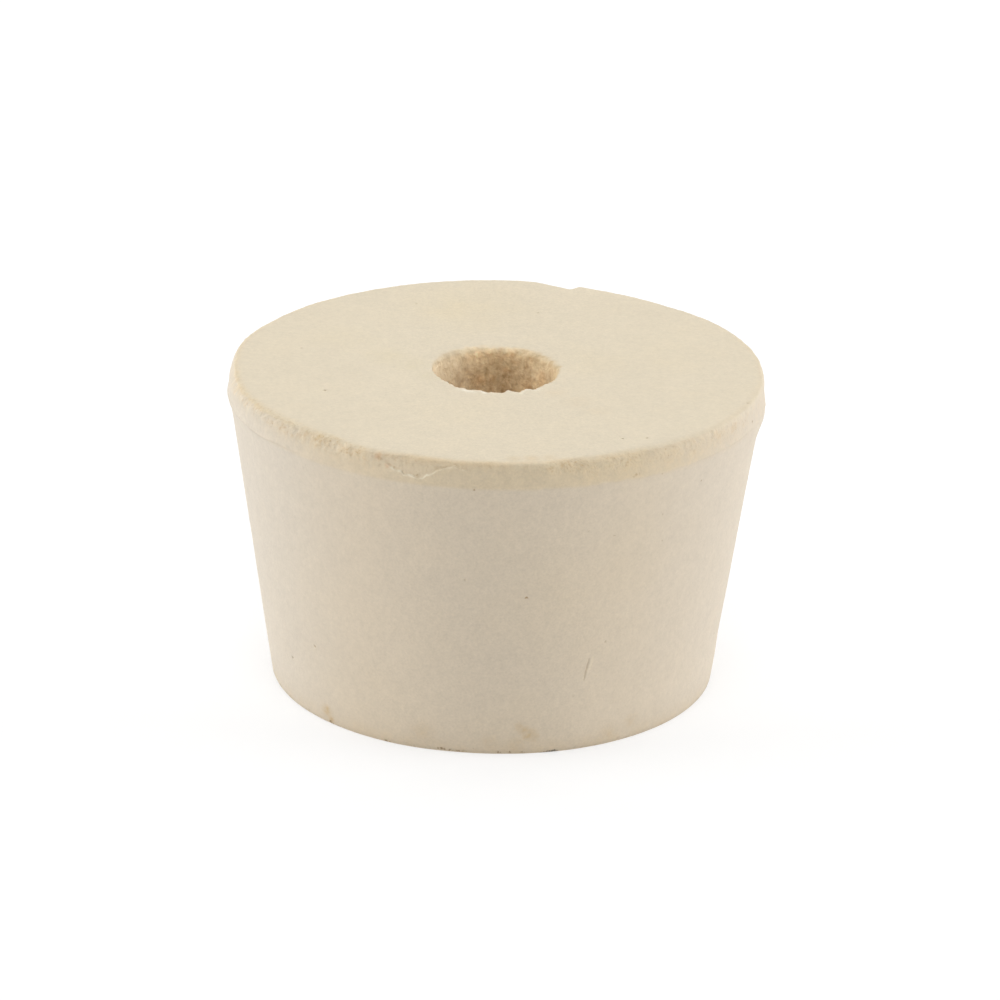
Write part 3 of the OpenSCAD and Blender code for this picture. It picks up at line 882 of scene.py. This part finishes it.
# the drilled wall: tan at the mouth, darker and streaked further in, where the darkening with depth is painted shade
n_crumb = grain(0.60, 2, 8)
n_bits = grain(0.24, 2, 9)
n_fibre = grain(0.50, 3, 14, squeeze=(1, 1, 0.4))
deep = painted("deep")
hollow = clamped(0.45 + n_crumb * 1.9 + n_bits * 1.2 + n_fibre * 2.0)
flat_at = 1.0 - smooth(X, -2.6, -4.0) * 0.55 - smooth(X, 3.0, 4.2) * 0.3  # an evener tone at the two sides
hollow = 0.5 + (hollow - 0.5) * flat_at
wall_up = blended(hollow, rgb(0.85, 0.69, 0.44), rgb(0.69, 0.51, 0.30))
wall_in_shaded = blended(hollow, rgb(0.84, 0.67, 0.43), rgb(0.50, 0.34, 0.185))
# painted shade: the wall darkens further into the hole
wall = blended(deep, wall_up, wall_in_shaded)
wall = blended(smooth(grain(1.7, 2, 10), 0.08, 0.26) * 0.35, wall, rgb(0.70, 0.46, 0.25))
# painted light and shade: the wall is paler round to the left, lighter left of the middle and just below the mouth at
# the back, and darker on the mouth's rounded top
wall = blended(smooth(X, -0.8, -3.6) * 0.45, wall, rgb(0.85, 0.75, 0.56))  # paler round to the left
wall = scaled(wall, (1.005 + smooth(X, -0.3, -2.2) * 0.11 - smooth(X, -2.9, -4.3) * 0.05) * (1.0 + smooth(Z, 23.3, 24.2) * smooth(calc("ABSOLUTE", X), 3.6, 2.0) * 0.17) * (1.0 - smooth(Z, 24.45, 24.95) * 0.17))
wall = tinted(wall, 1.0, rgb(0.975, 0.98, 1.0))
colour = blended(bore, colour, wall)
browner = [(-2.05, 3.77, 25.05, 0.9, 1.0), (-2.6, 3.5, 24.2, 0.8, 0.9), (-3.0, 3.25, 24.95, 0.9, 0.9), (-3.75, 2.6, 24.9, 0.8, 0.7), (-1.4, 4.0, 25.0, 0.7, 0.7), (1.8, 3.7, 25.0, 0.8, 1.0), (2.35, 3.45, 24.75, 0.6, 0.8), (2.8, 3.1, 24.6, 0.7, 0.8), (2.05, 3.6, 24.05, 0.7, 0.9), (0.0, 4.15, 22.4, 0.8, 0.9), (-2.0, 3.8, 21.8, 0.6, 0.8), (0.8, 4.05, 23.75, 0.7, 0.7), (-2.4, 3.6, 23.6, 0.6, 0.7), (0.85, 4.0, 21.6, 0.5, 0.6), (-0.8, 4.1, 23.3, 0.35, 0.7), (-0.8, 4.1, 22.8, 0.3, 0.7), (-1.75, 3.9, 22.45, 0.6, 0.8), (-1.95, 3.85, 23.9, 0.5, 0.4), (1.55, 3.9, 22.35, 0.6, 0.7), (0.1, 4.15, 23.85, 0.5, 0.7), (-1.0, 4.1, 21.85, 0.5, 0.6), (-0.95, 4.05, 25.1, 0.4, 0.7), (1.0, 4.0, 25.1, 0.4, 0.8)]
colour = tinted(colour, spots([(*place, 1.0) for place in browner], P) * (0.4 + bore * 0.6), rgb(0.73, 0.69, 0.64))
paler = [(2.4, 3.4, 22.2, 1.0, 1.0), (3.5, 2.4, 23.1, 1.1, 1.0), (-1.35, 4.0, 22.4, 0.8, 0.9), (1.05, 4.0, 24.75, 0.6, 0.8), (-0.6, 4.1, 24.75, 0.6, 0.7), (3.0, 2.9, 22.5, 0.8, 0.6), (0.72, 4.05, 23.3, 0.5, 0.7), (-1.4, 4.0, 24.6, 0.5, 0.8), (-0.35, 4.15, 22.5, 0.5, 0.7)]
colour = scaled(colour, 1.0 + spots([(*place, 1.0) for place in paler], P) * bore * 0.36)

shader = tree.nodes.new("ShaderNodeBsdfPrincipled")
output = tree.nodes.new("ShaderNodeOutputMaterial")
tree.links.new(shader.outputs["BSDF"], output.inputs["Surface"])
tree.links.new(colour.socket, shader.inputs["Base Color"])
roughness = clamped(0.80 + n_mott * 0.16 + n_fine * 0.12 + dirt * 0.08 - torn * 0.05)
tree.links.new(roughness.socket, shader.inputs["Roughness"])
shader.inputs["Specular IOR Level"].default_value = 0.3

# relief finer than the mesh, in mm
relief = n_fine * 0.012 + n_spot * 0.020 + n_mott * 0.016
relief = relief + edge_specks * (n_fine * 0.05 + n_spot * 0.05) + bore * (n_bits * 0.05 + n_fine * 0.03)
relief = relief + torn * (n_spot * 0.06 + n_fine * 0.03) + band * (n_spot * 0.012 + n_fine * 0.010)
bump = tree.nodes.new("ShaderNodeBump")
bump.inputs["Strength"].default_value = 1.0
bump.inputs["Distance"].default_value = MM
tree.links.new(relief.socket, bump.inputs["Height"])
tree.links.new(bump.outputs["Normal"], shader.inputs["Normal"])
mesh.materials.append(material)

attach(stopper, "root")
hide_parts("stopper")

# -------------------------------------------------------- floor, light, camera
floor_mesh = bpy.data.meshes.new("floor")
S = 1.5
floor_mesh.from_pydata([(-S, -S, 0), (S, -S, 0), (S, S, 0), (-S, S, 0)], [], [(0, 1, 2, 3)])
floor = bpy.data.objects.new("floor", floor_mesh)
bpy.context.scene.collection.objects.link(floor)
floor_mat = bpy.data.materials.new("floor")
floor_mat.use_nodes = True
fb = floor_mat.node_tree.nodes["Principled BSDF"]
fb.inputs["Base Color"].default_value = (0.45, 0.452, 0.456, 1)
fb.inputs["Roughness"].default_value = 1.0
fb.inputs["Specular IOR Level"].default_value = 0.0
fb.inputs["Emission Color"].default_value = (1, 1, 1, 1)
fb.inputs["Emission Strength"].default_value = 0.56  # white acrylic, lit from below
floor_mesh.materials.append(floor_mat)


def softbox(name, at, aim, size, power):
    data = bpy.data.lights.new(name, "AREA")
    data.shape = "RECTANGLE"
    data.size, data.size_y = size
    data.energy = power
    data.color = (1, 1, 1)
    lamp = bpy.data.objects.new(name, data)
    lamp.location = at
    lamp.rotation_euler = (Vector(aim) - Vector(at)).to_track_quat("-Z", "Y").to_euler()
    bpy.context.scene.collection.objects.link(lamp)
    return lamp


softbox("over_back", (0, 0.65, 0.7), (0, 0, 0.01), (0.8, 0.5), 2.48)
softbox("over_front", (0, -0.6, 0.85), (0, 0, 0.01), (0.8, 0.5), 4.48)
softbox("zenith", (0, 0, 1.0), (0, 0, 0.01), (0.5, 0.5), 1.06)
softbox("left", (-0.8, 0, 0.3), (0, 0, 0.01), (0.5, 0.5), 3.95)
softbox("right", (0.8, 0, 0.3), (0, 0, 0.01), (0.5, 0.5), 3.75)
softbox("back_left", (-0.6, 0.55, 0.35), (0, 0, 0.01), (0.5, 0.5), 2.38)
softbox("back_right", (0.6, 0.55, 0.35), (0, 0, 0.01), (0.5, 0.5), 2.38)

world = bpy.data.worlds.new("studio")
bpy.context.scene.world = world
world.use_nodes = True
world.node_tree.nodes["Background"].inputs["Color"].default_value = (1, 1, 1, 1)
world.node_tree.nodes["Background"].inputs["Strength"].default_value = 0.0

S_FIT = 20.65 / 20.5
ELEV, ROLL, DIST = math.radians(21.87), math.radians(-1.12), 417.5 * S_FIT
camera_data = bpy.data.cameras.new("camera")
camera_data.sensor_width = 36.0
camera_data.sensor_fit = "HORIZONTAL"
camera_data.lens = 12.971 * 417.5 * 36.0 / 1000.0 * 0.9955
camera_data.shift_x = 0.0062
camera_data.shift_y = 0.0172
camera_data.clip_start = 0.01
camera = bpy.data.objects.new("camera", camera_data)
place_at = Vector((0, -DIST * math.cos(ELEV) * MM, (DIST * math.sin(ELEV) + 12.5) * MM))
look = (Vector((0, 0, 0.0125)) - place_at).to_track_quat("-Z", "Y").to_matrix().to_4x4()
camera.matrix_world = Matrix.Translation(place_at) @ look @ Matrix.Rotation(-ROLL, 4, "Z")
bpy.context.scene.collection.objects.link(camera)
bpy.context.scene.camera = camera

bpy.context.scene.view_settings.view_transform = "Standard"
bpy.context.scene.view_settings.look = "None"

print("TRIANGLES", len(tri), "verts", len(co))
